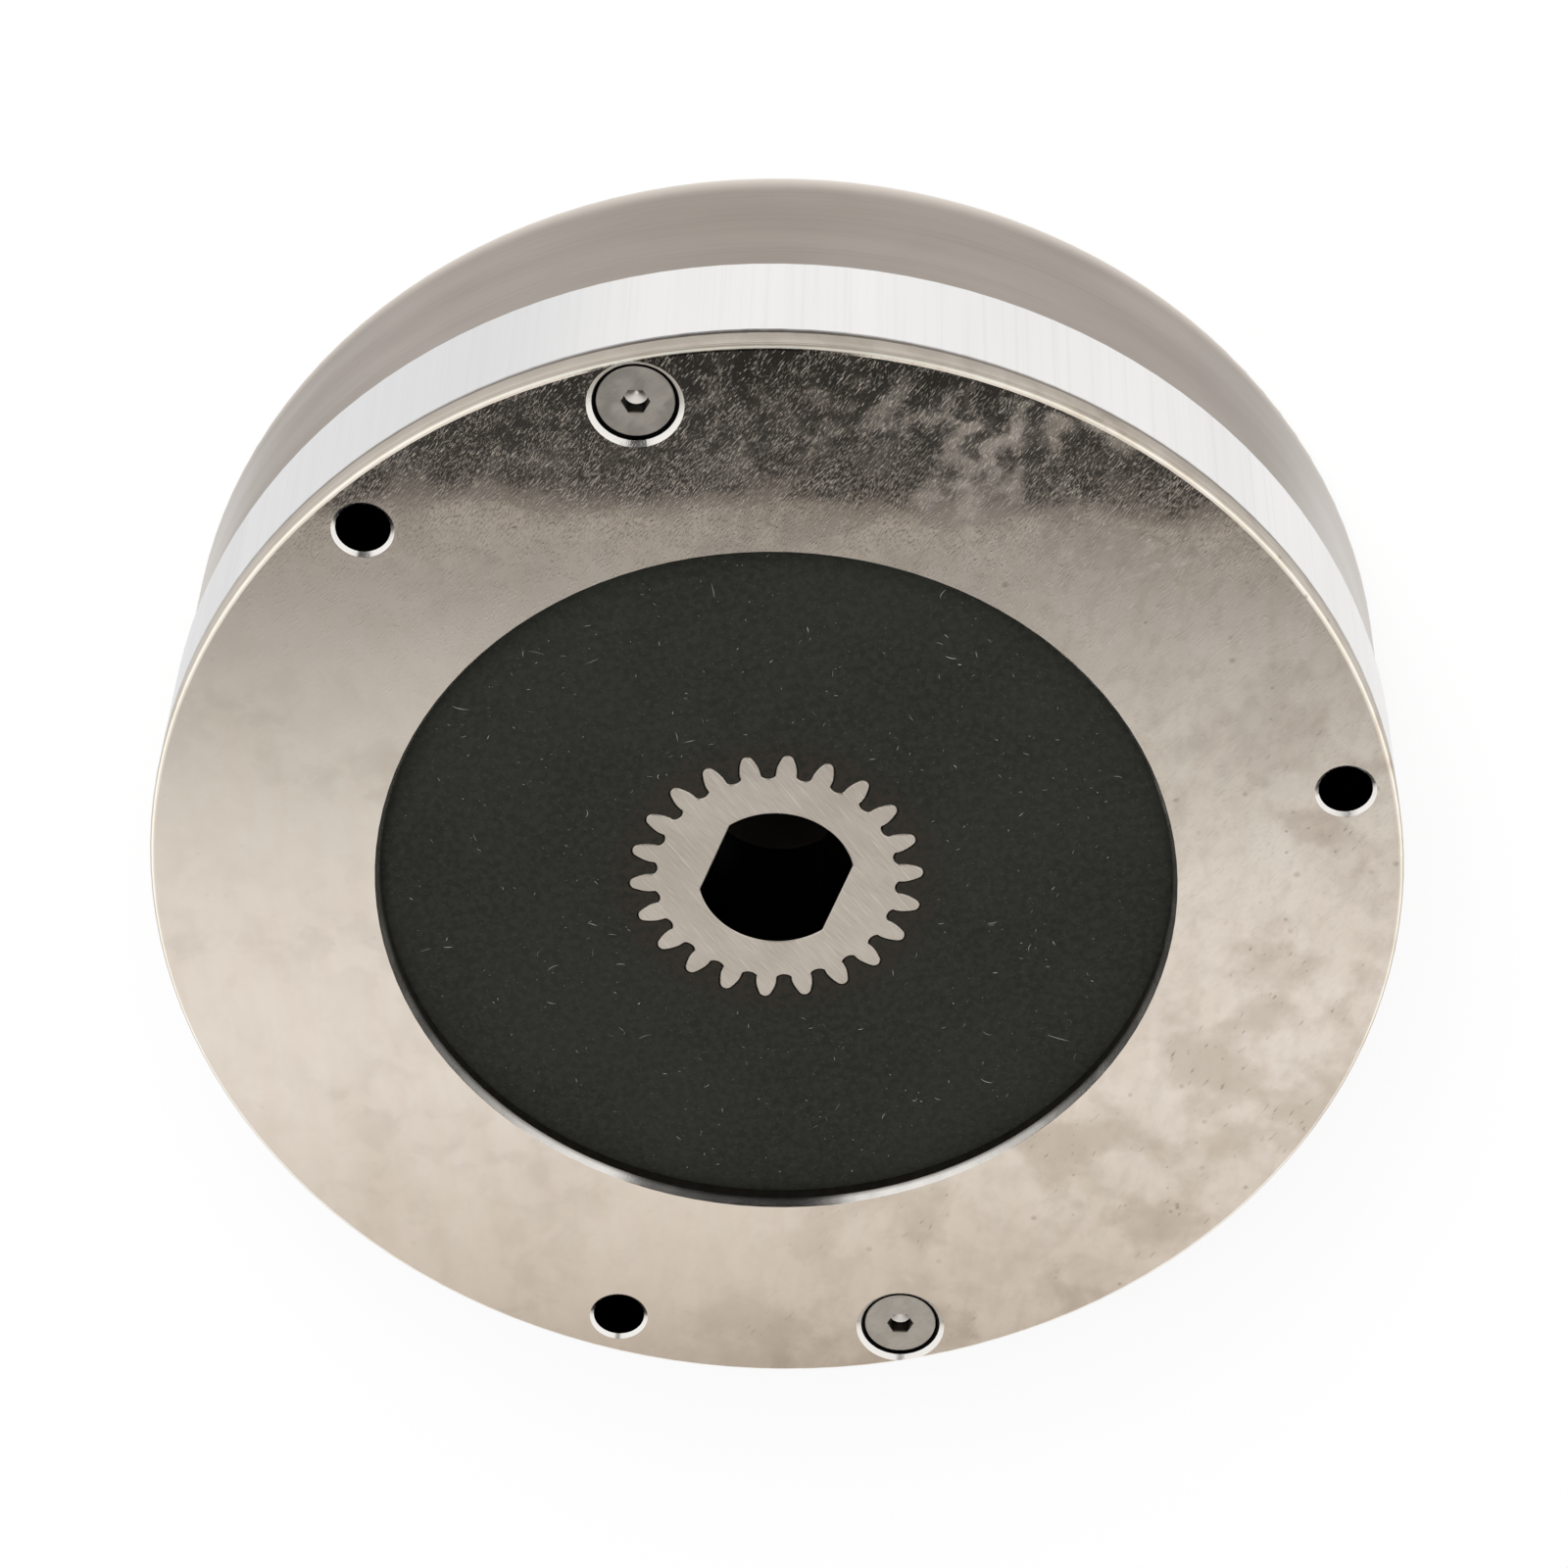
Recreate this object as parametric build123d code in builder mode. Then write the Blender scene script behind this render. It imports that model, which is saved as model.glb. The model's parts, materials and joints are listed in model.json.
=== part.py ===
from build123d import *
from math import atan, cos, degrees, pi, radians, sin, sqrt, tan

# A spring-applied brake that an electric magnet releases, in millimetres and degrees.
# Its axis is Z, its rear face lies on Z = 0 and its front plate is on top.
# Angles run from +X, where the first mounting hole is.

# Rim: the circle of holes, and the metal outside and inside it
bolt_circle_radius = 70.0
ring_wall_outside = 6.0
ring_wall_inside = 6.0
body_wall_outside = 5.4

# Thicknesses along the axis, from the rear face to the front face
back_wall = 8.0
coil_groove_depth = 17.0
air_gap = 0.4
armature_thickness = 8.9
disc_thickness = 7.0
plate_thickness = 3.2

# Outer edges and the front plate's opening
body_rear_rounding = 3.5
ring_front_chamfer = 0.9
plate_front_chamfer = 0.6
opening_radius = 48.1
opening_edge_width = 0.6
opening_edge_depth = 1.1
opening_rear_chamfer = 0.5

# Three M6 mounting holes and two M5 countersunk screws, on the same circle
mount_hole_count = 3
mount_hole_radius = 3.25
mount_hole_chamfer = 0.48
ring_mount_hole_radius = 3.4
mount_thread_radius = 3.0
mount_thread_depth = 15.0
screw_count = 2
screw_turn = 90.0
screw_thread_radius = 2.5
screw_hole_radius = 2.75
screw_length = 25.0
screw_top_depth = 0.75
screw_head_radius = 4.65
screw_head_chamfer = 0.15
screw_tip_chamfer = 0.6
screw_socket_width = 3.0
screw_socket_depth = 1.9
screw_socket_turn = -13.2
screw_drill_radius = 1.4
screw_drill_depth = 0.85
screw_thread_clearance = 0.02
screw_thread_spare = 3.0
countersink_radius = 5.65

# Splined hub: involute teeth and a round bore with two flats
tooth_count = 22
tooth_module = 1.5
pressure_angle = 20.0
tooth_nose_height = 0.45
tooth_root_hollow = 0.35
hub_length = 20.0
hub_bore_radius = 9.5
hub_width_across_flats = 16.0
hub_bore_chamfer = 0.2
hub_flat_turn = 145.8
spline_clearance = 0.12

# Gaps between the rotating and sliding pieces and what is round them
hub_recess_gap = 2.0
hub_end_gap = 0.3
armature_hub_gap = 4.0
armature_ring_gap = 1.0
disc_ring_gap = 2.0
armature_edge_chamfer = 0.5

# Shaft bore through the magnet body
shaft_bore_radius = 13.0
shaft_bore_chamfer = 1.0

# Springs in pockets along the middle of the inner pole
spring_count = 6
spring_turn = 30.0
spring_pocket_radius = 4.5
spring_pocket_depth = 17.0
spring_pocket_gap = 0.4
spring_wire = 1.5
spring_coils = 4
spring_end_gap = 0.05

# Guide pins, pressed into the outer pole, that keep the armature from turning
pin_count = 3
pin_turn = 60.0
pin_radius = 2.5
pin_depth = 8.0
pin_ring_gap = 0.5
pin_wall = 1.5
pin_top_gap = 0.9
pin_chamfer = 0.5
pin_seat_clearance = 0.01
pin_slide_clearance = 0.1

# Coil: a spool wound with wire, set in resin in the groove between the poles
coil_groove_width = 18.0
spool_clearance = 0.3
spool_wall = 1.2
winding_clearance = 0.05
winding_inset = 1.0
resin_thickness = 2.2
resin_recess = 0.2
resin_clearance = 0.02

# Radial outlet for the coil's leads, with a rubber grommet set flush
outlet_turn = 330.0
outlet_height = 13.0
outlet_radius = 3.5
outlet_seat_radius = 5.0
outlet_seat_depth = 2.2
grommet_clearance = 0.1
grommet_lead_radius = 1.8
grommet_recess = 0.4

# Sizes that follow from the ones above
plate_radius = bolt_circle_radius + ring_wall_outside
ring_inner_radius = bolt_circle_radius - ring_wall_inside
body_radius = bolt_circle_radius + body_wall_outside
body_front = back_wall + coil_groove_depth
armature_rear = body_front + air_gap
armature_front = armature_rear + armature_thickness
disc_front = armature_front + disc_thickness
plate_front = disc_front + plate_thickness
screw_top = plate_front - screw_top_depth

pitch_radius = tooth_module * tooth_count / 2
base_radius = pitch_radius * cos(radians(pressure_angle))
tip_radius = pitch_radius + tooth_module
root_radius = pitch_radius - 1.25 * tooth_module
tooth_pitch = 360 / tooth_count
hub_rear = disc_front - hub_length
hub_recess_radius = tip_radius + hub_recess_gap
hub_recess_floor = hub_rear - hub_end_gap

pin_circle_radius = ring_inner_radius - pin_ring_gap - pin_radius
groove_outer_radius = pin_circle_radius - pin_radius - pin_wall
groove_inner_radius = groove_outer_radius - coil_groove_width
spring_circle_radius = (hub_recess_radius + groove_inner_radius) / 2
pocket_floor = body_front - spring_pocket_depth
disc_radius = ring_inner_radius - disc_ring_gap
armature_radius = ring_inner_radius - armature_ring_gap

body_front_plane = Plane.XY.offset(body_front)
plate_front_plane = Plane.XY.offset(plate_front)


def save(part, name):
    """Label a finished piece and write it to its own STEP file."""
    part.label = name
    export_step(part, f"parts/{name}.step")


def around_axis(radius, angle, height=0.0):
    """The point at a radius and an angle round the brake's axis."""
    return Vector(radius * cos(radians(angle)), radius * sin(radians(angle)), height)


def outer_edge(edges):
    """The round edge of the largest radius among some edges."""
    return edges.filter_by(GeomType.CIRCLE).sort_by(SortBy.RADIUS)[-1]


def inner_edge(edges):
    """The round edge of the smallest radius among some edges."""
    return edges.filter_by(GeomType.CIRCLE).sort_by(SortBy.RADIUS)[0]


def ring_section(inner_radius, outer_radius, low, high):
    """The half section of a plain ring, drawn in the XZ plane."""
    with Locations((inner_radius, low)):
        Rectangle(outer_radius - inner_radius, high - low, align=(Align.MIN, Align.MIN))


def flank_angle(radius, clearance):
    """Half of the angle that a tooth spans at a radius, in degrees.

    The flank is the involute of the base circle, and below that circle it is radial.
    Moving it outward by a clearance turns it by the clearance over the base radius.
    """
    pressure = radians(pressure_angle)
    unrolled = sqrt(max((radius / base_radius) ** 2 - 1, 0))
    at_base = pi / (2 * tooth_count) + tan(pressure) - pressure
    return degrees(at_base - unrolled + atan(unrolled) + clearance / base_radius)


def spline_section(plane, clearance):
    """The hub's toothed outline on a plane, moved outward all round by a clearance.

    A tooth has a radial foot, two flanks and a round nose, and a hollow arc joins it to
    the next. A flank is so short that an arc through three points of the involute
    follows it within a hundredth of a millimetre.
    """
    foot_radius = root_radius + clearance + tooth_root_hollow
    nose_start = tip_radius + clearance - tooth_nose_height
    flank_radii = (base_radius, (base_radius + nose_start) / 2, nose_start)

    def on_flank(radius, turn, side):
        return around_axis(radius, turn + side * flank_angle(radius, clearance))

    with BuildSketch(plane) as section:
        with BuildLine():
            for tooth in range(tooth_count):
                turn = hub_flat_turn + (tooth + 0.5) * tooth_pitch
                for side in (-1, 1):
                    Line(on_flank(foot_radius, turn, side), on_flank(base_radius, turn, side))
                    ThreePointArc(*(on_flank(radius, turn, side) for radius in flank_radii))
                ThreePointArc(
                    on_flank(nose_start, turn, -1),
                    around_axis(tip_radius + clearance, turn),
                    on_flank(nose_start, turn, 1),
                )
                ThreePointArc(
                    on_flank(foot_radius, turn, 1),
                    around_axis(root_radius + clearance, turn + tooth_pitch / 2),
                    on_flank(foot_radius, turn + tooth_pitch, -1),
                )
        make_face()
    return section.sketch


# Magnet body: a turned steel pot, with the coil's groove between its two poles
outlet_plane = Plane(
    origin=around_axis(body_radius, outlet_turn, outlet_height),
    z_dir=around_axis(1, outlet_turn),
)
screw_reach = screw_top - screw_length
with BuildPart() as magnet_body:
    with BuildSketch(Plane.XZ):
        ring_section(shaft_bore_radius, body_radius, 0, body_front)
        with Locations((groove_inner_radius, back_wall)):
            Rectangle(
                groove_outer_radius - groove_inner_radius,
                coil_groove_depth,
                align=(Align.MIN, Align.MIN),
                mode=Mode.SUBTRACT,
            )
        with Locations((0, hub_recess_floor)):
            Rectangle(
                hub_recess_radius,
                body_front - hub_recess_floor,
                align=(Align.MIN, Align.MIN),
                mode=Mode.SUBTRACT,
            )
    revolve(axis=Axis.Z)
    rear_edges = magnet_body.edges().group_by(Axis.Z)[0]
    fillet(outer_edge(rear_edges), body_rear_rounding)
    chamfer(inner_edge(rear_edges), shaft_bore_chamfer)
    with Locations(body_front_plane):
        with PolarLocations(spring_circle_radius, spring_count, spring_turn):
            Hole(spring_pocket_radius, spring_pocket_depth)
        with PolarLocations(pin_circle_radius, pin_count, pin_turn):
            Hole(pin_radius + pin_seat_clearance, pin_depth)
        with PolarLocations(bolt_circle_radius, mount_hole_count):
            Hole(mount_thread_radius, mount_thread_depth)
        with PolarLocations(bolt_circle_radius, screw_count, screw_turn):
            Hole(
                screw_thread_radius + screw_thread_clearance,
                body_front - screw_reach + screw_thread_spare,
            )
    with Locations(outlet_plane):
        CounterBoreHole(
            outlet_radius,
            outlet_seat_radius,
            outlet_seat_depth,
            body_radius - groove_outer_radius + outlet_radius,
        )
save(magnet_body.part, "magnet_body")

# Coil spool: a moulded bobbin, open to the outside, that stands on the groove's floor
spool_inner_radius = groove_inner_radius + spool_clearance
spool_outer_radius = groove_outer_radius - spool_clearance
spool_top = body_front - resin_recess - resin_thickness
with BuildPart() as coil_bobbin:
    with BuildSketch(Plane.XZ):
        ring_section(spool_inner_radius, spool_outer_radius, back_wall, spool_top)
        with Locations((spool_inner_radius + spool_wall, back_wall + spool_wall)):
            Rectangle(
                spool_outer_radius - spool_inner_radius,
                spool_top - back_wall - 2 * spool_wall,
                align=(Align.MIN, Align.MIN),
                mode=Mode.SUBTRACT,
            )
    revolve(axis=Axis.Z)
save(coil_bobbin.part, "coil_bobbin")

# Coil winding: enamelled copper wire, wound full, as one solid
with BuildPart() as coil_winding:
    with BuildSketch(Plane.XZ):
        ring_section(
            spool_inner_radius + spool_wall + winding_clearance,
            spool_outer_radius - winding_inset,
            back_wall + spool_wall + winding_clearance,
            spool_top - spool_wall - winding_clearance,
        )
    revolve(axis=Axis.Z)
save(coil_winding.part, "coil_winding")

# Resin that seals the groove just below the pole faces
with BuildPart() as coil_potting:
    with BuildSketch(Plane.XZ):
        ring_section(
            groove_inner_radius + resin_clearance,
            groove_outer_radius - resin_clearance,
            spool_top,
            spool_top + resin_thickness,
        )
    revolve(axis=Axis.Z)
save(coil_potting.part, "coil_potting")

# Rubber grommet in the lead outlet, recessed so that nothing stands out of the rim
grommet_seat = outlet_plane.offset(-outlet_seat_depth)
with BuildPart() as lead_grommet:
    with BuildSketch(grommet_seat):
        Circle(outlet_seat_radius - grommet_clearance)
    extrude(amount=outlet_seat_depth - grommet_recess)
    with BuildSketch(grommet_seat):
        Circle(outlet_radius - grommet_clearance)
    extrude(amount=-(body_radius - groove_outer_radius - outlet_seat_depth))
    with Locations(outlet_plane):
        Hole(grommet_lead_radius)
save(lead_grommet.part, "lead_grommet")

# Coil springs of square wire, their ends ground flat, from the pocket floors to the armature
spring_radius = spring_pocket_radius - spring_pocket_gap - spring_wire / 2
spring_low = pocket_floor + spring_end_gap
spring_rise = armature_rear - spring_end_gap - spring_low
coil_rise = spring_rise + spring_wire
for number in range(spring_count):
    spring_angle = spring_turn + number * 360 / spring_count
    spring_plane = Plane(around_axis(spring_circle_radius, spring_angle, spring_low))
    with BuildPart() as spring:
        with BuildLine(spring_plane.offset(-spring_wire / 2)) as coil:
            Helix(coil_rise / spring_coils, coil_rise, spring_radius)
        with BuildSketch(Plane(coil.line @ 0, z_dir=coil.line % 0)):
            Rectangle(spring_wire, spring_wire)
        sweep(is_frenet=True)
        with BuildSketch(spring_plane):
            Circle(spring_radius + spring_wire)
        extrude(amount=spring_rise, mode=Mode.INTERSECT)
    save(spring.part, f"spring_{number + 1}")

# Guide pins: hardened dowels that end below the armature's front face
pin_low = body_front - pin_depth
pin_high = armature_front - pin_top_gap
for number in range(pin_count):
    pin_centre = around_axis(pin_circle_radius, pin_turn + number * 360 / pin_count, pin_low)
    with BuildPart() as guide_pin:
        with BuildSketch(Plane(pin_centre)):
            Circle(pin_radius)
        extrude(amount=pin_high - pin_low)
        chamfer(guide_pin.edges().group_by(Axis.Z)[-1], pin_chamfer)
        chamfer(guide_pin.edges().group_by(Axis.Z)[0], pin_chamfer)
    save(guide_pin.part, f"guide_pin_{number + 1}")

# Armature plate: a steel ring, notched round the guide pins
notch_radius = pin_radius + pin_slide_clearance
with BuildPart() as armature_plate:
    with BuildSketch(Plane.XY.offset(armature_rear)):
        Circle(armature_radius)
        Circle(tip_radius + armature_hub_gap, mode=Mode.SUBTRACT)
    extrude(amount=armature_thickness)
    for end_edges in armature_plate.edges().group_by(Axis.Z)[0::2]:
        chamfer(outer_edge(end_edges), armature_edge_chamfer)
    with BuildSketch(Plane.XY.offset(armature_rear)):
        with PolarLocations(pin_circle_radius, pin_count, pin_turn):
            Circle(notch_radius)
            Rectangle(
                armature_radius - pin_circle_radius + notch_radius,
                2 * notch_radius,
                align=(Align.MIN, Align.CENTER),
            )
    extrude(amount=armature_thickness, mode=Mode.SUBTRACT)
save(armature_plate.part, "armature_plate")

# Friction disc: moulded lining compound, with internal teeth that slide on the hub
with BuildPart() as friction_disc:
    with BuildSketch(Plane.XY.offset(armature_front)):
        Circle(disc_radius)
    extrude(amount=disc_thickness)
    add(spline_section(Plane.XY.offset(armature_front), spline_clearance))
    extrude(amount=disc_thickness, mode=Mode.SUBTRACT)
save(friction_disc.part, "friction_disc")

# Splined hub: cut from steel bar, flush with the disc's front, its flats facing tooth gaps
with BuildPart() as splined_hub:
    add(spline_section(Plane.XY.offset(hub_rear), 0))
    extrude(amount=hub_length)
    with BuildSketch(Plane.XY.offset(hub_rear)):
        Circle(hub_bore_radius)
        Rectangle(
            hub_width_across_flats,
            2 * hub_bore_radius,
            rotation=hub_flat_turn,
            mode=Mode.INTERSECT,
        )
    extrude(amount=hub_length, mode=Mode.SUBTRACT)
    for end_face in splined_hub.faces().sort_by(Axis.Z)[0], splined_hub.faces().sort_by(Axis.Z)[-1]:
        chamfer(end_face.inner_wires()[0].edges(), hub_bore_chamfer)
save(splined_hub.part, "splined_hub")

# Spacer ring: aluminium tube that leaves room for the armature and the disc
with BuildPart() as spacer_ring:
    with BuildSketch(Plane.XY.offset(body_front)):
        Circle(plate_radius)
        Circle(ring_inner_radius, mode=Mode.SUBTRACT)
    extrude(amount=disc_front - body_front)
    chamfer(outer_edge(spacer_ring.edges().group_by(Axis.Z)[-1]), ring_front_chamfer)
    with Locations(Plane.XY.offset(disc_front)):
        with PolarLocations(bolt_circle_radius, mount_hole_count):
            Hole(ring_mount_hole_radius)
        with PolarLocations(bolt_circle_radius, screw_count, screw_turn):
            Hole(screw_hole_radius)
save(spacer_ring.part, "spacer_ring")

# Front plate: ground steel, with a wide opening over the disc
with BuildPart() as front_plate:
    with BuildSketch(Plane.XY.offset(disc_front)):
        Circle(plate_radius)
        Circle(opening_radius, mode=Mode.SUBTRACT)
    extrude(amount=plate_thickness)
    chamfer(outer_edge(front_plate.edges().group_by(Axis.Z)[-1]), plate_front_chamfer)
    chamfer(inner_edge(front_plate.edges().group_by(Axis.Z)[0]), opening_rear_chamfer)
    front_face = front_plate.faces().sort_by(Axis.Z)[-1]
    chamfer(
        inner_edge(front_face.edges()),
        opening_edge_width,
        opening_edge_depth,
        reference=front_face,
    )
    with Locations(plate_front_plane):
        with PolarLocations(bolt_circle_radius, mount_hole_count):
            CounterSinkHole(
                mount_hole_radius,
                mount_hole_radius + mount_hole_chamfer,
                counter_sink_angle=90,
            )
        with PolarLocations(bolt_circle_radius, screw_count, screw_turn):
            CounterSinkHole(screw_hole_radius, countersink_radius, counter_sink_angle=90)
save(front_plate.part, "front_plate")

# Countersunk socket screws, seated on the cone of their countersinks. The socket is broached
# into a drilled hole, whose point shows in its floor.
head_cone_top = plate_front - (countersink_radius - screw_head_radius)
head_cone_foot = head_cone_top - (screw_head_radius - screw_thread_radius)
drill_point = screw_top - screw_socket_depth - screw_drill_depth
with BuildPart() as plate_screws:
    with BuildSketch(Plane.XY.offset(screw_reach)):
        with PolarLocations(bolt_circle_radius, screw_count, screw_turn):
            Circle(screw_thread_radius)
    extrude(amount=screw_length)
    chamfer(plate_screws.edges().group_by(Axis.Z)[0], screw_tip_chamfer)
    with PolarLocations(bolt_circle_radius, screw_count, screw_turn):
        with Locations((0, 0, head_cone_foot)):
            Cone(
                screw_thread_radius,
                screw_head_radius,
                head_cone_top - head_cone_foot,
                align=(Align.CENTER, Align.CENTER, Align.MIN),
            )
        with Locations((0, 0, head_cone_top)):
            Cylinder(
                screw_head_radius,
                screw_top - head_cone_top,
                align=(Align.CENTER, Align.CENTER, Align.MIN),
            )
    chamfer(plate_screws.edges().group_by(Axis.Z)[-1], screw_head_chamfer)
    with BuildSketch(Plane.XY.offset(screw_top)):
        with PolarLocations(bolt_circle_radius, screw_count, screw_turn, rotate=False):
            RegularPolygon(
                screw_socket_width / 2, 6, major_radius=False, rotation=screw_socket_turn
            )
    extrude(amount=-screw_socket_depth, mode=Mode.SUBTRACT)
    with PolarLocations(bolt_circle_radius, screw_count, screw_turn):
        with Locations((0, 0, drill_point)):
            Cone(
                0,
                screw_drill_radius,
                screw_drill_depth,
                align=(Align.CENTER, Align.CENTER, Align.MIN),
                mode=Mode.SUBTRACT,
            )
save(plate_screws.part, "plate_screws")
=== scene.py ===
import json
import math

import bpy
import numpy as np
from mathutils import Matrix, Vector


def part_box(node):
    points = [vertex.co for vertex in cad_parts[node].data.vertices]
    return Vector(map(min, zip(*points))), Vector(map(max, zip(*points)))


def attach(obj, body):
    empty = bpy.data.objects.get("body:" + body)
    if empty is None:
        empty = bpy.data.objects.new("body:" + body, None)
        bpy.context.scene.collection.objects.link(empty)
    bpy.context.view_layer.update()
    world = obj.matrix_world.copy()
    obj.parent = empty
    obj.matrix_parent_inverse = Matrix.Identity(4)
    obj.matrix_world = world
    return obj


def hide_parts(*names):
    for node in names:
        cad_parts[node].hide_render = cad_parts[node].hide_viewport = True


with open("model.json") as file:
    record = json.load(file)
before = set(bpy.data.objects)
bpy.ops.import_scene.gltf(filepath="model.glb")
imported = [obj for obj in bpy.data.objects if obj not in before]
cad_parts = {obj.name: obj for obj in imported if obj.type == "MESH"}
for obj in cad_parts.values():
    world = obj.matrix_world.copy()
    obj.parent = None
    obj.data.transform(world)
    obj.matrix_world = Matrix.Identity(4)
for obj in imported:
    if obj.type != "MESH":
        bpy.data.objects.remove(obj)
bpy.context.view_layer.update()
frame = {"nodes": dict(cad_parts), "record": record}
nodes = frame["nodes"]

# Magnet body: a pot turned from low-carbon steel, its rear edge rounded on the lathe.
# The steel is left bare, so it is a satin warm grey with faint turning lines and clouds
# of handling stain round the rim.


def put(tree, kind, inputs=None, **settings):
    """Add a shader node, and link or set each named input."""
    node = tree.nodes.new("ShaderNode" + kind)
    for name, value in settings.items():
        setattr(node, name, value)
    for name, value in (inputs or {}).items():
        if isinstance(value, bpy.types.NodeSocket):
            tree.links.new(value, node.inputs[name])
        else:
            node.inputs[name].default_value = value
    return node


def effect(name, inputs, outputs):
    """Start a node group: inputs are name to start value, outputs are names of values."""
    tree = bpy.data.node_groups.new(name, "ShaderNodeTree")
    tree.interface.new_socket("Vector", in_out="INPUT", socket_type="NodeSocketVector")
    for label, value in inputs.items():
        socket = tree.interface.new_socket(label, in_out="INPUT", socket_type="NodeSocketFloat")
        socket.default_value = value
    for label in outputs:
        tree.interface.new_socket(label, in_out="OUTPUT", socket_type="NodeSocketFloat")
    return tree, tree.nodes.new("NodeGroupInput").outputs, tree.nodes.new("NodeGroupOutput")


def use(tree, group, vector, **values):
    """Place an effect in a material with its own values."""
    node = tree.nodes.new("ShaderNodeGroup")
    node.node_tree = group
    tree.links.new(vector, node.inputs["Vector"])
    for label, value in values.items():
        node.inputs[label.replace("_", " ")].default_value = value
    return node.outputs


def maths(tree, operation, first, second=0.0, third=0.0, clamp=False):
    """One step of arithmetic on values or sockets."""
    inputs = {0: first, 1: second, 2: third}
    return put(tree, "Math", inputs, operation=operation, use_clamp=clamp).outputs[0]


def spread(tree, value, low, high, start=0.0, end=1.0):
    """Map a value from low..high to start..end, smoothly and no further."""
    inputs = {"Value": value, "From Min": low, "From Max": high, "To Min": start, "To Max": end}
    node = put(tree, "MapRange", inputs, interpolation_type="SMOOTHSTEP")
    return node.outputs["Result"]


def tint(tree, share, first, second, blend="MIX"):
    """Mix two colours by a share."""
    node = put(tree, "Mix", data_type="RGBA", blend_type=blend, clamp_factor=True)
    for index, value in ((0, share), (6, first), (7, second)):
        if isinstance(value, bpy.types.NodeSocket):
            tree.links.new(value, node.inputs[index])
        else:
            node.inputs[index].default_value = value
    return node.outputs[2]


def start_finish(name):
    """A new material with its tree, its surface shader and the object's own coordinates."""
    finish = bpy.data.materials.new(name)
    finish.use_nodes = True
    tree = finish.node_tree
    shader = tree.nodes["Principled BSDF"]
    return finish, tree, shader, put(tree, "TexCoord").outputs["Object"]


def set_up(tree, shader, colour=None, roughness=None, bump=None, depth=0.00002, **constants):
    """Link a finish's varying colour, roughness and relief, and set its constants."""
    if colour is not None:
        tree.links.new(colour, shader.inputs["Base Color"])
    if roughness is not None:
        tree.links.new(roughness, shader.inputs["Roughness"])
    if bump is not None:
        relief = put(tree, "Bump", {"Height": bump, "Strength": 1.0, "Distance": depth})
        tree.links.new(relief.outputs["Normal"], shader.inputs["Normal"])
    for label, value in constants.items():
        shader.inputs[label.replace("_", " ")].default_value = value


def dress(finish, *names):
    """Give a finish to CAD nodes."""
    for name in names:
        nodes[name].material_slots[0].material = finish


def flatten(tree, place):
    """A place with its height left out, so that its length is its distance from the axis."""
    return put(tree, "VectorMath", {0: place, 1: (1, 1, 0)}, operation="MULTIPLY").outputs[0]


def length_of(tree, vector):
    """The length of a vector."""
    return put(tree, "VectorMath", {0: vector}, operation="LENGTH").outputs["Value"]


def height_of(tree, place):
    """The height of a place above the rear face."""
    return put(tree, "SeparateXYZ", {0: place}).outputs["Z"]


def both(tree, first, second):
    """The share where two shares meet: their product."""
    return maths(tree, "MULTIPLY", first, second)


# The photograph shows the brake turned about its axis by this much.
PHOTO_TURN = math.radians(13.19)


def as_photographed(tree, place):
    """A place turned about the axis by the photograph's turn, so that its x runs to the right in
    the photograph and its y upward."""
    turn = {"Vector": place, "Angle": PHOTO_TURN}
    return put(tree, "VectorRotate", turn, rotation_type="Z_AXIS").outputs[0]


# Grain that follows the turning: noise over the direction from the axis, and over radius and
# height together, so it closes on itself. Each rate is in features per metre, Around along
# the rim.
rim_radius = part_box("front_plate")[1].x
round_grain, given, result = effect(
    "round_grain", {"Around": 20.0, "Outward": 0.0, "Upward": 200.0, "Detail": 2.0}, ["Grain"]
)
flat = flatten(round_grain, given["Vector"])
bearing = put(round_grain, "VectorMath", {0: flat}, operation="NORMALIZE").outputs[0]
rim_rate = maths(round_grain, "MULTIPLY", given["Around"], rim_radius)
bearing = put(round_grain, "VectorMath", {0: bearing, "Scale": rim_rate}, operation="SCALE").outputs[0]
outward = maths(round_grain, "MULTIPLY", length_of(round_grain, flat), given["Outward"])
height = height_of(round_grain, given["Vector"])
upward = maths(round_grain, "MULTIPLY_ADD", height, given["Upward"], outward)
lifted = put(round_grain, "CombineXYZ", {"Z": upward}).outputs[0]
place = put(round_grain, "VectorMath", {0: bearing, 1: lifted}, operation="ADD").outputs[0]
noise = put(round_grain, "TexNoise", {"Vector": place, "Scale": 1.0, "Detail": given["Detail"]})
round_grain.links.new(noise.outputs[0], result.inputs["Grain"])

# Clouds: broad noise, with its middle stretched so that it reaches nearly 0 and 1.
clouds, given, result = effect("clouds", {"Size": 0.02, "Detail": 3.0, "Twist": 0.3}, ["Cloud"])
rate = maths(clouds, "DIVIDE", 1.0, given["Size"])
noise = put(
    clouds,
    "TexNoise",
    {"Vector": given["Vector"], "Scale": rate, "Detail": given["Detail"], "Distortion": given["Twist"]},
)
clouds.links.new(spread(clouds, noise.outputs[0], 0.3, 0.7), result.inputs["Cloud"])

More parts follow.
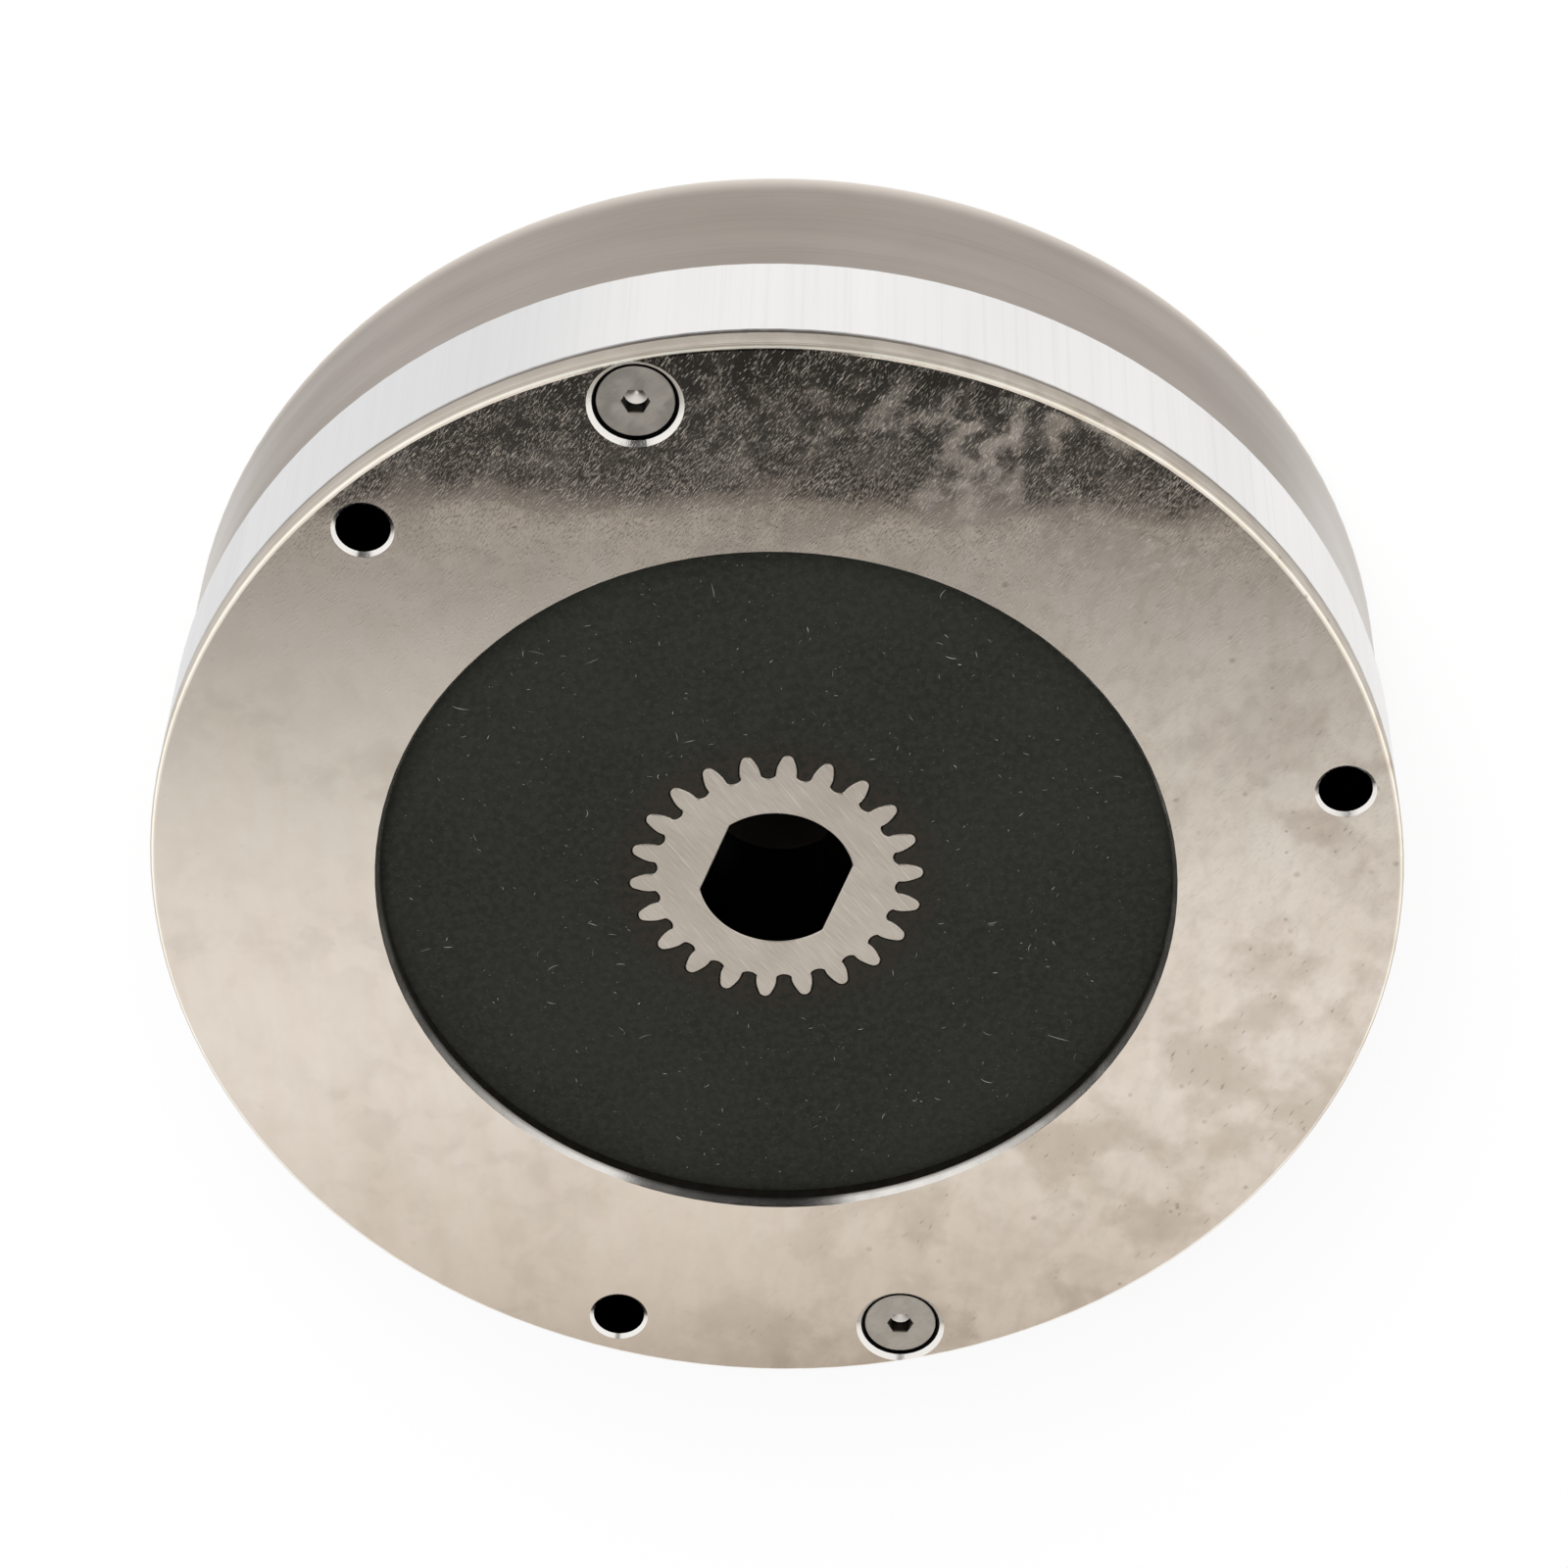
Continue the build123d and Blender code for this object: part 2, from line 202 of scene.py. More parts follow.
# Bolt shade: 1 inside holes of one radius on the bolt circle, below a height, and 0 elsewhere.
# The bearing is folded into the sector of one hole. By itself it marks the mounting holes
# below their chamfers, and reaches a hair past their walls.
mounts = {mount["name"]: mount["dims"] for mount in frame["record"]["mounts"]}
BOLT_CIRCLE = mounts["mounting_holes"]["pcd_mm"] / 2000
MOUNTING_HOLE = mounts["mounting_holes"]["hole_r_mm"] / 1000
HOLE_CHAMFER, HAIR = 0.0005, 0.00005
plate_rear, plate_front = (corner.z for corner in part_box("front_plate"))
bolt_shade, given, result = effect(
    "bolt_shade",
    {
        "Circle": BOLT_CIRCLE,
        "Count": mounts["mounting_holes"]["count"],
        "Turn": 0.0,
        "Hole": MOUNTING_HOLE + HAIR,
        "Below": plate_front - HOLE_CHAMFER,
    },
    ["Shade"],
)
split = put(bolt_shade, "SeparateXYZ", {0: given["Vector"]}).outputs
radius = length_of(bolt_shade, flatten(bolt_shade, given["Vector"]))
sector = maths(bolt_shade, "DIVIDE", math.pi, given["Count"])
bearing = maths(bolt_shade, "ARCTAN2", split["Y"], split["X"])
bearing = maths(bolt_shade, "SUBTRACT", bearing, given["Turn"])
bearing = maths(bolt_shade, "WRAP", bearing, sector, maths(bolt_shade, "MULTIPLY", sector, -1.0))
across = maths(bolt_shade, "MULTIPLY", radius, maths(bolt_shade, "SINE", bearing))
along = maths(bolt_shade, "MULTIPLY", radius, maths(bolt_shade, "COSINE", bearing))
along = maths(bolt_shade, "SUBTRACT", along, given["Circle"])
off_bolt = put(bolt_shade, "CombineXYZ", {"X": along, "Y": across}).outputs[0]
within = maths(bolt_shade, "LESS_THAN", length_of(bolt_shade, off_bolt), given["Hole"])
deep = maths(bolt_shade, "LESS_THAN", split["Z"], given["Below"])
bolt_shade.links.new(both(bolt_shade, within, deep), result.inputs["Shade"])

# Almost no light comes back from the holes.
NO_LIGHT = (0.002, 0.002, 0.002, 1)

# Where the painted light changes, as a start and an end: the painted highlight on the rear
# rounding by height and by radius, and the painted sheen on the rim's two sides by their distance
# from the middle of the photograph's brake. The tapped holes end above TAPPED_FOOT, so their
# painted shade ends there and not at the rear rounding.
HIGHLIGHT_HEIGHTS, HIGHLIGHT_RADII = (0.0060, 0.0015), (0.0700, 0.0722)
SHEEN_MIDDLE, SHEEN_SIDES = -0.002, (0.058, 0.071)
TAPPED_FOOT = 0.0095

body_steel, tree, shader, at = start_finish("body_steel")
turning = use(tree, round_grain, at, Around=6.0, Outward=2600.0, Upward=2600.0, Detail=3.0)["Grain"]
bands = use(tree, round_grain, at, Around=26.0, Outward=120.0, Upward=130.0, Detail=3.0)["Grain"]
stain = use(tree, clouds, at, Size=0.035, Detail=4.0, Twist=0.6)["Cloud"]
colour = tint(tree, stain, (0.360, 0.312, 0.276, 1), (0.395, 0.348, 0.310, 1))
colour = tint(tree, spread(tree, bands, 0.30, 0.8, 0.0, 0.25), colour, (0.46, 0.41, 0.36, 1))
colour = tint(tree, spread(tree, turning, 0.3, 0.8, 0.0, 0.18), colour, (0.24, 0.205, 0.18, 1))

# Painted highlight: the rear rounding is painted paler, and the rim's two sides get a painted sheen.
height = height_of(tree, at)
radius = length_of(tree, flatten(tree, at))
low = spread(tree, height, *HIGHLIGHT_HEIGHTS)
rounding_highlight = both(tree, low, spread(tree, radius, *HIGHLIGHT_RADII))
colour = tint(tree, rounding_highlight, colour, (0.84, 0.77, 0.69, 1))
painted_light_across = put(tree, "SeparateXYZ", {0: as_photographed(tree, at)}).outputs["X"]
painted_light_across = maths(tree, "ABSOLUTE", maths(tree, "SUBTRACT", painted_light_across, SHEEN_MIDDLE))
colour = tint(tree, spread(tree, painted_light_across, *SHEEN_SIDES, 0.0, 0.8), colour, (0.64, 0.60, 0.56, 1))
# Painted shade in the tapped holes, down to their foot.
above_foot = maths(tree, "GREATER_THAN", height, TAPPED_FOOT)
tapped = both(tree, use(tree, bolt_shade, at)["Shade"], above_foot)
colour = tint(tree, tapped, colour, NO_LIGHT)
set_up(
    tree,
    shader,
    colour,
    spread(tree, bands, 0.3, 0.75, 0.46, 0.34),
    turning,
    0.000006,
    Metallic=1.0,
)
dress(body_steel, "magnet_body")

# Coil: a nylon bobbin wound with enamelled copper wire, sealed below the poles with dark
# cast resin. The resin is all that would show with the armature plate taken off.

bobbin_nylon, tree, shader, at = start_finish("bobbin_nylon")
cloud = use(tree, clouds, at, Size=0.012)["Cloud"]
set_up(
    tree,
    shader,
    tint(tree, cloud, (0.74, 0.71, 0.63, 1), (0.80, 0.78, 0.72, 1)),
    spread(tree, cloud, 0.0, 1.0, 0.5, 0.38),
)
dress(bobbin_nylon, "coil_bobbin")

copper_wire, tree, shader, at = start_finish("copper_wire")
turns = use(tree, round_grain, at, Around=0.5, Outward=0.0, Upward=1700.0, Detail=0.0)["Grain"]
set_up(
    tree,
    shader,
    tint(tree, turns, (0.50, 0.20, 0.09, 1), (0.74, 0.36, 0.19, 1)),
    spread(tree, turns, 0.3, 0.7, 0.42, 0.24),
    turns,
    0.0002,
    Metallic=1.0,
)
dress(copper_wire, "coil_winding")

cast_resin, tree, shader, at = start_finish("cast_resin")
swirl = use(tree, clouds, at, Size=0.009, Detail=2.0, Twist=1.5)["Cloud"]
set_up(
    tree,
    shader,
    tint(tree, swirl, (0.030, 0.022, 0.018, 1), (0.050, 0.038, 0.030, 1)),
    spread(tree, swirl, 0.0, 1.0, 0.16, 0.30),
    swirl,
    0.00006,
)
dress(cast_resin, "coil_potting")

# Springs and guide pins: oiled square spring wire with ground ends, and hardened dowels
# pressed into the outer pole. Both are hidden behind the armature plate.

spring_steel, tree, shader, at = start_finish("spring_steel")
drawn = use(tree, clouds, at, Size=0.0012, Detail=2.0)["Cloud"]
set_up(
    tree,
    shader,
    tint(tree, drawn, (0.17, 0.165, 0.165, 1), (0.27, 0.26, 0.25, 1)),
    spread(tree, drawn, 0.0, 1.0, 0.28, 0.42),
    drawn,
    0.00001,
    Metallic=1.0,
)
dress(spring_steel, *(name for name in nodes if name.startswith("spring_")))

pin_steel, tree, shader, at = start_finish("pin_steel")
ground = use(tree, clouds, at, Size=0.0008, Detail=2.0)["Cloud"]
set_up(
    tree,
    shader,
    tint(tree, ground, (0.46, 0.45, 0.44, 1), (0.56, 0.55, 0.53, 1)),
    spread(tree, ground, 0.0, 1.0, 0.14, 0.24),
    Metallic=1.0,
)
dress(pin_steel, *(name for name in nodes if name.startswith("guide_pin_")))

# Lead grommet: a moulded rubber bush set just below the rim, in the side where the coil's
# leads leave.

grommet_rubber, tree, shader, at = start_finish("grommet_rubber")
bloom = use(tree, clouds, at, Size=0.003, Detail=4.0)["Cloud"]
set_up(
    tree,
    shader,
    tint(tree, bloom, (0.016, 0.016, 0.017, 1), (0.034, 0.033, 0.032, 1)),
    spread(tree, bloom, 0.0, 1.0, 0.62, 0.80),
    bloom,
    0.00003,
)
dress(grommet_rubber, "lead_grommet")

# Armature plate: a flat ring of soft steel, ground on both faces, that the coil pulls back
# and the springs push forward.

armature_steel, tree, shader, at = start_finish("armature_steel")
grinding = use(tree, round_grain, at, Around=12.0, Outward=1800.0, Upward=500.0)["Grain"]
cloud = use(tree, clouds, at, Size=0.02)["Cloud"]
colour = tint(tree, cloud, (0.34, 0.32, 0.30, 1), (0.42, 0.40, 0.37, 1))
set_up(
    tree,
    shader,
    tint(tree, spread(tree, grinding, 0.3, 0.7, 0.0, 0.3), colour, (0.24, 0.22, 0.20, 1)),
    spread(tree, cloud, 0.0, 1.0, 0.30, 0.44),
    grinding,
    0.000008,
    Metallic=1.0,
)
dress(armature_steel, "armature_plate")

# Splined hub: cut from steel bar, with 22 involute teeth, a double-D bore and a small broken
# edge round every tooth. Its front face is sawn and linished, which leaves slanting lines.

TEETH, MODULE, PRESSURE = 22, 0.0015, math.radians(20)
PITCH = MODULE * TEETH / 2
TIP, ROOT, BASE = PITCH + MODULE, PITCH - 1.25 * MODULE, PITCH * math.cos(PRESSURE)
NOSE, HOLLOW = 0.00045, 0.00035
BORE, HALF_FLATS, FLATS_TURN = 0.0095, 0.0080, math.radians(145.8)
BREAK, MOUTH = 0.00015, 0.00015
FLANK_POINTS, NOSE_POINTS, HOLLOW_POINTS = 6, 7, 5
hub_rear, hub_front = (corner.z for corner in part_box("splined_hub"))


def flank(radius):
    """Half of a tooth's angle at some radii: the involute of the base circle, and below that
    circle the angle at its foot."""
    unrolled = np.sqrt(np.maximum((radius / BASE) ** 2 - 1, 0))
    at_foot = math.pi / (2 * TEETH) + math.tan(PRESSURE) - PRESSURE
    return at_foot - unrolled + np.arctan(unrolled)


def rounding(start, middle, end, count):
    """Points on the arc through three points of the plane, both ends left out: the start turned
    about the centre that is equally far from all three."""
    (ax, ay), (bx, by), (cx, cy) = start, middle, end
    twice = 2 * (ax * (by - cy) + bx * (cy - ay) + cx * (ay - by))
    a, b, c = ax * ax + ay * ay, bx * bx + by * by, cx * cx + cy * cy
    centre = np.array([
        a * (by - cy) + b * (cy - ay) + c * (ay - by),
        a * (cx - bx) + b * (ax - cx) + c * (bx - ax),
    ]) / twice
    first = np.array(start) - centre
    sweep = np.angle(complex(*(np.array(end) - centre)) / complex(*first))
    if np.sign(np.cross(first, np.array(middle) - centre)) != np.sign(sweep):
        sweep -= math.copysign(2 * math.pi, sweep)
    turn = np.linspace(0, sweep, count + 2)[1:-1]
    return centre + np.stack([
        first[0] * np.cos(turn) - first[1] * np.sin(turn),
        first[0] * np.sin(turn) + first[1] * np.cos(turn),
    ], axis=1)


def polar(radius, angle):
    """Points of the plane at some radii and angles: x goes with the cosine of the angle, and y
    with its sine."""
    return np.stack([radius * np.cos(angle), radius * np.sin(angle)], axis=-1)


def tooth_outline():
    """The toothed outline, anticlockwise: one tooth of foot, flank, nose, flank, foot and root
    hollow, turned once for each tooth."""
    rise = np.linspace(0, 1, FLANK_POINTS)
    radii = np.concatenate([[ROOT + HOLLOW], BASE + (TIP - NOSE - BASE) * rise])
    side = flank(radii)
    step = 2 * math.pi / TEETH
    up, down = polar(radii, -side), polar(radii, side)[::-1]
    nose = rounding(up[-1], (TIP, 0.0), down[0], NOSE_POINTS)
    next_foot = polar(radii[0], step - side[0])
    hollow = rounding(down[-1], polar(ROOT, step / 2), next_foot, HOLLOW_POINTS)
    tooth = np.concatenate([up, nose, down, hollow])
    turns = FLATS_TURN + (np.arange(TEETH) + 0.5) * step
    cosine, sine = np.cos(turns)[:, None], np.sin(turns)[:, None]
    x = tooth[:, 0] * cosine - tooth[:, 1] * sine
    y = tooth[:, 0] * sine + tooth[:, 1] * cosine
    return np.stack([x, y], axis=-1).reshape(-1, 2)


def inset(outline, distance):
    """A closed outline moved inward along the mean normal of its two edges at each point."""
    before, after = outline - np.roll(outline, 1, 0), np.roll(outline, -1, 0) - outline
    before /= np.linalg.norm(before, axis=1)[:, None]
    after /= np.linalg.norm(after, axis=1)[:, None]
    along = before + after
    along /= np.linalg.norm(along, axis=1)[:, None]
    return outline + distance * np.stack([-along[:, 1], along[:, 0]], axis=1)


def double_d(outline, radius, half_flats):
    """A round bore with two flats: at each angle of an outline the nearer of the circle and the
    flats. The angles nearest to a corner are moved onto it."""
    angle = np.arctan2(outline[:, 1], outline[:, 0])
    corner = math.acos(half_flats / radius)
    for turn in (corner, -corner, math.pi + corner, math.pi - corner):
        away = (angle - FLATS_TURN - turn + math.pi) % (2 * math.pi) - math.pi
        nearest = np.argmin(np.abs(away))
        angle[nearest] -= away[nearest]
    reach = half_flats / np.maximum(np.abs(np.cos(angle - FLATS_TURN)), 1e-6)
    return polar(np.minimum(radius, reach), angle)


def link_in(piece):
    """Put a new object in the scene."""
    bpy.context.scene.collection.objects.link(piece)
    return piece


def skin(name, rows, close_rows, finish):
    """A mesh from rows of points (rows, columns, 3) whose columns close on themselves. Each
    quad joins two rows and two columns; close_rows joins the last row to the first."""
    count, across = rows.shape[:2]
    index = np.arange(count * across).reshape(count, across)
    following = np.roll(index, -1, 0) if close_rows else index[1:]
    index = index if close_rows else index[:-1]
    quads = np.stack(
        [index, np.roll(index, -1, 1), np.roll(following, -1, 1), following], axis=-1
    ).reshape(-1, 4)
    mesh = bpy.data.meshes.new(name)
    mesh.from_pydata(rows.reshape(-1, 3).tolist(), [], quads.tolist())
    mesh.shade_smooth()
    mesh.set_sharp_from_angle(angle=math.radians(30))
    mesh.materials.append(finish)
    return link_in(bpy.data.objects.new(name, mesh))


# Scratches: noise drawn out along one direction. Length and Width are the size of a scratch.
scratches, given, result = effect(
    "scratches", {"Angle": 0.0, "Length": 0.004, "Width": 0.0003, "Detail": 2.0}, ["Scratch"]
)
turned = put(
    scratches,
    "VectorRotate",
    {"Vector": given["Vector"], "Angle": maths(scratches, "MULTIPLY", given["Angle"], -1.0)},
    rotation_type="Z_AXIS",
).outputs[0]
along = maths(scratches, "DIVIDE", 1.0, given["Length"])
across = maths(scratches, "DIVIDE", 1.0, given["Width"])
rates = put(scratches, "CombineXYZ", {"X": along, "Y": across, "Z": along}).outputs[0]
place = put(scratches, "VectorMath", {0: turned, 1: rates}, operation="MULTIPLY").outputs[0]
noise = put(scratches, "TexNoise", {"Vector": place, "Scale": 1.0, "Detail": given["Detail"]})
scratches.links.new(noise.outputs[0], result.inputs["Scratch"])


def scratched(tree, place, degrees, **sizes):
    """Scratches that run at an angle from x."""
    return use(tree, scratches, place, Angle=math.radians(degrees), **sizes)["Scratch"]


hub_steel, tree, shader, at = start_finish("hub_steel")
linish = scratched(tree, at, -68, Length=0.006, Width=0.00022)
crossing = scratched(tree, at, -56, Length=0.003, Width=0.00016)
cloud = use(tree, clouds, at, Size=0.008)["Cloud"]
colour = tint(tree, cloud, (0.545, 0.490, 0.424, 1), (0.620, 0.562, 0.492, 1))
colour = tint(tree, spread(tree, linish, 0.5, 0.75, 0.0, 0.5), colour, (0.86, 0.80, 0.71, 1))
colour = tint(tree, spread(tree, crossing, 0.52, 0.72, 0.0, 0.5), colour, (0.42, 0.37, 0.32, 1))

# The bore is in shade from just inside its mouth.
inside_mouth = 0.8 * MOUTH
narrow = maths(tree, "LESS_THAN", length_of(tree, flatten(tree, at)), BORE + inside_mouth)
deep = maths(tree, "LESS_THAN", height_of(tree, at), hub_front - inside_mouth)
colour = tint(tree, both(tree, narrow, deep), colour, (0.003, 0.003, 0.003, 1))
set_up(
    tree,
    shader,
    colour,
    spread(tree, linish, 0.3, 0.7, 0.30, 0.40),
    linish,
    0.000007,
    Metallic=1.0,
)

teeth = tooth_outline()
bore = double_d(teeth, BORE, HALF_FLATS)
mouth = double_d(teeth, BORE + MOUTH, HALF_FLATS + MOUTH)
face_edge = inset(teeth, BREAK)
hub_rows = [
    (bore, hub_rear + MOUTH),
    (bore, hub_front - MOUTH),
    (mouth, hub_front),
    (face_edge, hub_front),
    (teeth, hub_front - BREAK),
    (teeth, hub_rear + BREAK),
    (face_edge, hub_rear),
    (mouth, hub_rear),
]
hub_points = np.stack([
    np.concatenate([outline, np.full((len(outline), 1), height)], axis=1)
    for outline, height in hub_rows
])
hub = skin("toothed_hub", hub_points[::-1], True, hub_steel)
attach(hub, "hub")
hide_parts("splined_hub")

# Friction disc: pressed and baked lining compound, charcoal with a little green, that slides
# on the hub's teeth. Pale chopped fibres show in its face, and it is stained by the hub.

STAIN_INNER, STAIN_OUTER = 0.0005, 0.0035

lining, tree, shader, at = start_finish("lining_compound")
mottle = use(tree, clouds, at, Size=0.0009, Detail=4.0, Twist=0.4)["Cloud"]
patches = use(tree, clouds, at, Size=0.016, Detail=3.0)["Cloud"]
grit = put(tree, "TexNoise", {"Vector": at, "Scale": 3200.0, "Detail": 2.0}).outputs[0]
colour = tint(tree, mottle, (0.0160, 0.0163, 0.0128, 1), (0.0225, 0.0230, 0.0188, 1))
colour = tint(tree, spread(tree, patches, 0.0, 1.0, 0.0, 0.3), colour, (0.0260, 0.0260, 0.0215, 1))
colour = tint(tree, spread(tree, grit, 0.60, 0.78, 0.0, 0.45), colour, (0.075, 0.076, 0.066, 1))
radius = length_of(tree, flatten(tree, at))
near_hub = spread(tree, radius, TIP - STAIN_INNER, TIP + STAIN_OUTER, 1.0, 0.0)
colour = tint(tree, both(tree, near_hub, mottle), colour, (0.026, 0.020, 0.015, 1))
set_up(
    tree,
    shader,
    colour,
    spread(tree, mottle, 0.0, 1.0, 0.92, 0.78),
    grit,
    0.00006,
    Specular_IOR_Level=0.12,
)
dress(lining, "friction_disc")

fibre, tree, shader, at = start_finish("lining_fibre")
cloud = use(tree, clouds, at, Size=0.004)["Cloud"]
set_up(
    tree,
    shader,
    tint(tree, cloud, (0.05, 0.05, 0.046, 1), (0.30, 0.30, 0.28, 1)),
    spread(tree, cloud, 0.0, 1.0, 0.7, 0.5),
)

# Each fibre starts at a place of the face, evenly over its area, and has its own heading,
# length, curl and thickness. Most are short, and a few are several times as long.
FIBRES, STEPS = 460, 9
FACE_INNER, FACE_OUTER = 0.0195, 0.0465
SHORTEST, LENGTH_SHAPE, LENGTH_SCALE = 0.00008, 0.8, 0.00042
CURL, THINNEST, THICKEST = 0.7, 0.000026, 0.000070
draw = np.random.default_rng(22)
start_radius = np.sqrt(draw.uniform(FACE_INNER**2, FACE_OUTER**2, FIBRES))
start_angle = draw.uniform(0, 2 * math.pi, FIBRES)
heading = draw.uniform(0, 2 * math.pi, FIBRES)
length = SHORTEST + draw.gamma(LENGTH_SHAPE, LENGTH_SCALE, FIBRES)
curl = draw.normal(0, CURL, FIBRES)
thick = draw.uniform(THINNEST, THICKEST, FIBRES)
disc_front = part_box("friction_disc")[1].z


def fibre_tubes():
    """Each fibre is an arc of its own length and curl that lies on the disc's face, and its skin
    is a four-sided tube that swells from a quarter of its thickness at each end to the whole
    of it in the middle."""
    share = np.linspace(0, 1, STEPS)
    turn = heading[:, None] + curl[:, None] * (share - 0.5)
    step = length[:, None] / (STEPS - 1)
    x = np.cumsum(np.cos(turn), 1) * step + (start_radius * np.cos(start_angle))[:, None]
    y = np.cumsum(np.sin(turn), 1) * step + (start_radius * np.sin(start_angle))[:, None]
    swell = thick[:, None] * (0.25 + 0.75 * np.sin(math.pi * share))
    side = np.array([0, 1, 2, 3]) * math.pi / 2
    outward = swell[..., None] * np.cos(side)
    upward = swell[..., None] * np.sin(side)
    points = np.stack([
        x[..., None] - np.sin(turn)[..., None] * outward,
        y[..., None] + np.cos(turn)[..., None] * outward,
        disc_front + upward,
    ], axis=-1)
    index = np.arange(FIBRES * STEPS * 4).reshape(FIBRES, STEPS, 4)
    wall = np.stack([
        index[:, :-1], np.roll(index, -1, 2)[:, :-1], np.roll(index, -1, 2)[:, 1:], index[:, 1:]
    ], axis=-1).reshape(-1, 4)
    ends = np.concatenate([index[:, 0, ::-1], index[:, -1]])
    return points.reshape(-1, 3), np.concatenate([wall, ends])


points, quads = fibre_tubes()
mesh = bpy.data.meshes.new("lining_fibres")
mesh.from_pydata(points.tolist(), [], quads.tolist())
mesh.shade_smooth()
mesh.materials.append(fibre)
fibres = link_in(bpy.data.objects.new("lining_fibres", mesh))
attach(fibres, "disc")

# Spacer ring: sawn from drawn aluminium tube, so its outside keeps the die's fine lines
# along the axis. It sits between the magnet body and the front plate.

RING_HOLE, RING_CHAMFER, JOINT_SHADE_FADE = 0.0035, 0.0009, 0.0002
DARK_REFLECTION_SIDE = (-0.010, -0.036)
ring_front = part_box("spacer_ring")[1].z

ring_aluminium, tree, shader, at = start_finish("ring_aluminium")
die_lines = use(tree, round_grain, at, Around=2200.0, Outward=0.0, Upward=20.0, Detail=3.0)["Grain"]
broad = use(tree, round_grain, at, Around=60.0, Outward=0.0, Upward=8.0, Detail=2.0)["Grain"]
broad = spread(tree, broad, 0.3, 0.7)
colour = tint(tree, broad, (0.875, 0.862, 0.852, 1), (0.915, 0.903, 0.893, 1))
colour = tint(tree, spread(tree, die_lines, 0.5, 0.8, 0.0, 0.3), colour, (0.74, 0.735, 0.735, 1))

# Its left side gets a painted darker reflection, and its chamfer painted shade from the joint with the
# plate.
painted_light_across = put(tree, "SeparateXYZ", {0: as_photographed(tree, at)}).outputs["X"]
painted_dark_reflection = spread(tree, painted_light_across, *DARK_REFLECTION_SIDE, 0.0, 0.85)
colour = tint(tree, painted_dark_reflection, colour, (0.735, 0.735, 0.74, 1))
chamfer_foot = ring_front - RING_CHAMFER
joint_shade = spread(tree, height_of(tree, at), chamfer_foot, chamfer_foot + JOINT_SHADE_FADE)
colour = tint(tree, joint_shade, colour, (0.28, 0.25, 0.22, 1))
colour = tint(tree, use(tree, bolt_shade, at, Hole=RING_HOLE)["Shade"], colour, NO_LIGHT)
set_up(
    tree,
    shader,
    colour,
    spread(tree, die_lines, 0.3, 0.7, 0.32, 0.42),
    die_lines,
    0.000004,
    Metallic=1.0,
)
dress(ring_aluminium, "spacer_ring")

# Front plate: ground steel with a thin nickel coat. It is almost a mirror, with short
# slanting scratches, cloudy wiping marks, small pits and brownish stains from handling.

# Pits: the nearest of scattered points, kept where a broad noise allows them.
pits, given, result = effect("pits", {"Spacing": 0.004, "Size": 0.0003, "Where": 0.5}, ["Pit"])
rate = maths(pits, "DIVIDE", 1.0, given["Spacing"])
cells = put(pits, "TexVoronoi", {"Vector": given["Vector"], "Scale": rate, "Randomness": 1.0})
distance = maths(pits, "MULTIPLY", cells.outputs["Distance"], given["Spacing"])
chance = put(pits, "SeparateXYZ", {0: cells.outputs["Color"]}).outputs["X"]
own_size = maths(pits, "MULTIPLY", given["Size"], chance)
inside = maths(pits, "SUBTRACT", 1.0, maths(pits, "DIVIDE", distance, own_size), clamp=True)
patch = put(pits, "TexNoise", {"Vector": given["Vector"], "Scale": 60.0, "Detail": 2.0}).outputs[0]
allowed = maths(pits, "GREATER_THAN", patch, given["Where"])
pits.links.new(both(pits, inside, allowed), result.inputs["Pit"])


def screw_shade(tree, place, radius, below):
    """Bolt shade round the two plate screws, which lie above and below the axis."""
    values = {"Count": 2.0, "Turn": math.pi / 2, "Hole": radius, "Below": below}
    return use(tree, bolt_shade, place, **values)["Shade"]


OPENING, BROKEN_EDGE = 0.0481, 0.0006
COUNTERSINK, SCREW_GAP, GAP_DEPTH = 0.00566, 0.00505, 0.00055
EDGE_CHAMFER, EDGE_GROOVE, EDGE_LINES = 0.0005, 0.00082, 3200.0
HANDLED, WORN, LOWER_RIGHT = (-0.030, 0.045), (-0.020, 0.055), (0.020, 0.065)
under_face = plate_front - 0.00002

plate_steel, tree, shader, at = start_finish("plate_steel")
seen = as_photographed(tree, at)
split = put(tree, "SeparateXYZ", {0: seen}).outputs
rightward, upward, height = split["X"], split["Y"], split["Z"]
radius = length_of(tree, flatten(tree, at))
strokes = scratched(tree, seen, 65, Length=0.00060, Width=0.00014, Detail=4.0)
hairs = scratched(tree, seen, 52, Length=0.0011, Width=0.00009, Detail=3.0)
ripple = scratched(tree, seen, 98, Length=0.012, Width=0.0030)
smear = scratched(tree, seen, 78, Length=0.0034, Width=0.0019, Detail=6.0)
dashes = scratched(tree, seen, 58, Length=0.0021, Width=0.00065)
wide = use(tree, clouds, seen, Size=0.024, Detail=4.0, Twist=0.5)["Cloud"]
cloudy = use(tree, clouds, seen, Size=0.0050, Detail=6.0, Twist=0.4)["Cloud"]
blooms = use(tree, clouds, seen, Size=0.0105, Detail=8.0, Twist=0.15)["Cloud"]
clumps = use(tree, clouds, seen, Size=0.0026, Detail=5.0, Twist=0.3)["Cloud"]
pit = use(tree, pits, seen, Spacing=0.0030, Size=0.0006, Where=0.48)["Pit"]

